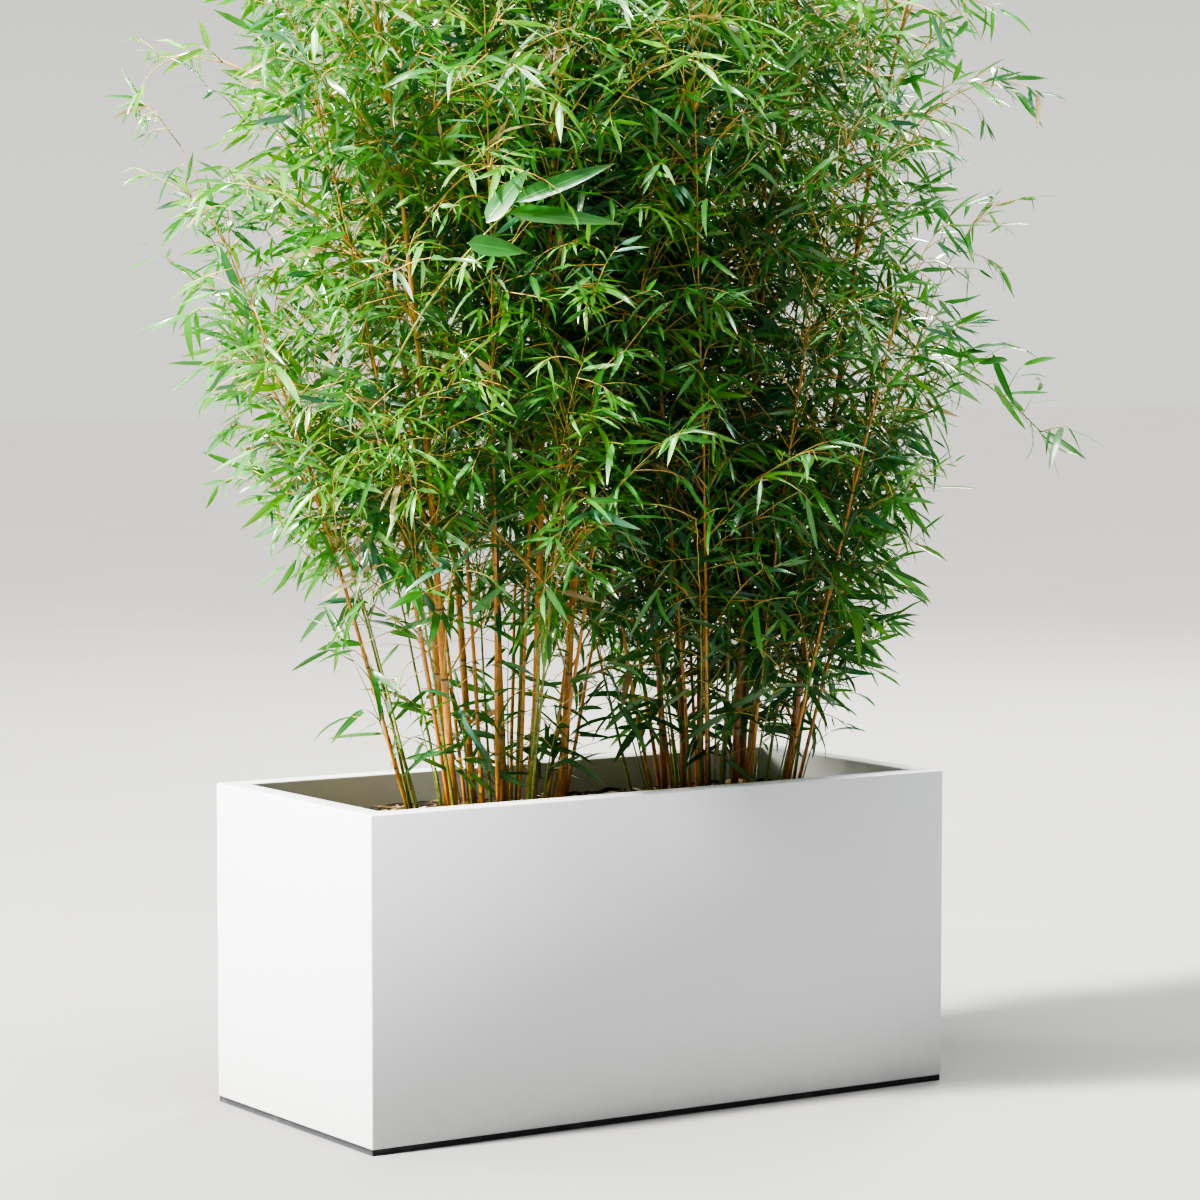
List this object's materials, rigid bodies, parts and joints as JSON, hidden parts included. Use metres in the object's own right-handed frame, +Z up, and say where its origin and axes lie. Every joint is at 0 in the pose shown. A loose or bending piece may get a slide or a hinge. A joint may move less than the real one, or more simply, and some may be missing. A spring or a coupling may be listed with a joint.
{
  "type": "potted bamboo",
  "caption": "Clump-forming bamboo in a long rectangular planter: slender jointed canes fan out of the soil and carry narrow hanging leaves to their tips.",
  "frame": {"origin": "centre of the planter's flat underside, on the ground", "axes": "+Z up, +X along the planter's length, -Y out of the planter's front face"},
  "size_m": [1.5299, 0.8726, 2.0731],
  "materials": {
    "planter_white": "satin",
    "base_strip": "matte",
    "soil": "matte",
    "cane": "satin",
    "green_shoot": "satin",
    "leaf": "satin"
  },
  "bodies": {
    "root": {"base_strip": "base_strip", "bough_right_arching": "leaf", "cane_left_1": "cane", "cane_left_2": "cane", "cane_left_3": "cane", "cane_left_4": "cane", "cane_left_5": "cane", "cane_left_6": "cane", "cane_right_1": "cane", "cane_right_2": "cane", "cane_right_3": "cane", "cane_right_4": "cane", "cane_right_5": "cane", "cane_right_6": "cane", "foliage_left_1_1": "leaf", "foliage_left_1_2": "leaf", "foliage_left_2_1": "leaf", "foliage_left_2_2": "leaf", "foliage_left_3_1": "leaf", "foliage_left_3_2": "leaf", "foliage_left_3_3": "leaf", "foliage_left_4_1": "leaf", "foliage_left_4_2": "leaf", "foliage_left_4_3": "leaf", "foliage_left_5_1": "leaf", "foliage_left_5_2": "leaf", "foliage_left_5_3": "leaf", "foliage_left_5_4": "leaf", "foliage_left_6_1": "leaf", "foliage_left_6_2": "leaf", "foliage_left_6_3": "leaf", "foliage_left_6_4": "leaf", "foliage_left_7_1": "leaf", "foliage_left_8_1": "leaf", "foliage_right_1_1": "leaf", "foliage_right_1_2": "leaf", "foliage_right_2_1": "leaf", "foliage_right_2_2": "leaf", "foliage_right_3_1": "leaf", "foliage_right_3_2": "leaf", "foliage_right_3_3": "leaf", "foliage_right_4_1": "leaf", "foliage_right_4_2": "leaf", "foliage_right_4_3": "leaf", "foliage_right_5_1": "leaf", "foliage_right_5_2": "leaf", "foliage_right_5_3": "leaf", "foliage_right_5_4": "leaf", "foliage_right_6_1": "leaf", "foliage_right_6_2": "leaf", "foliage_right_6_3": "leaf", "foliage_right_6_4": "leaf", "foliage_right_7_1": "leaf", "foliage_right_8_1": "leaf", "planter": "planter_white", "shoot_left_1": "green_shoot", "shoot_left_2": "green_shoot", "shoot_right_1": "green_shoot", "shoot_right_2": "green_shoot", "soil": "soil"}
  },
  "joints": []
}
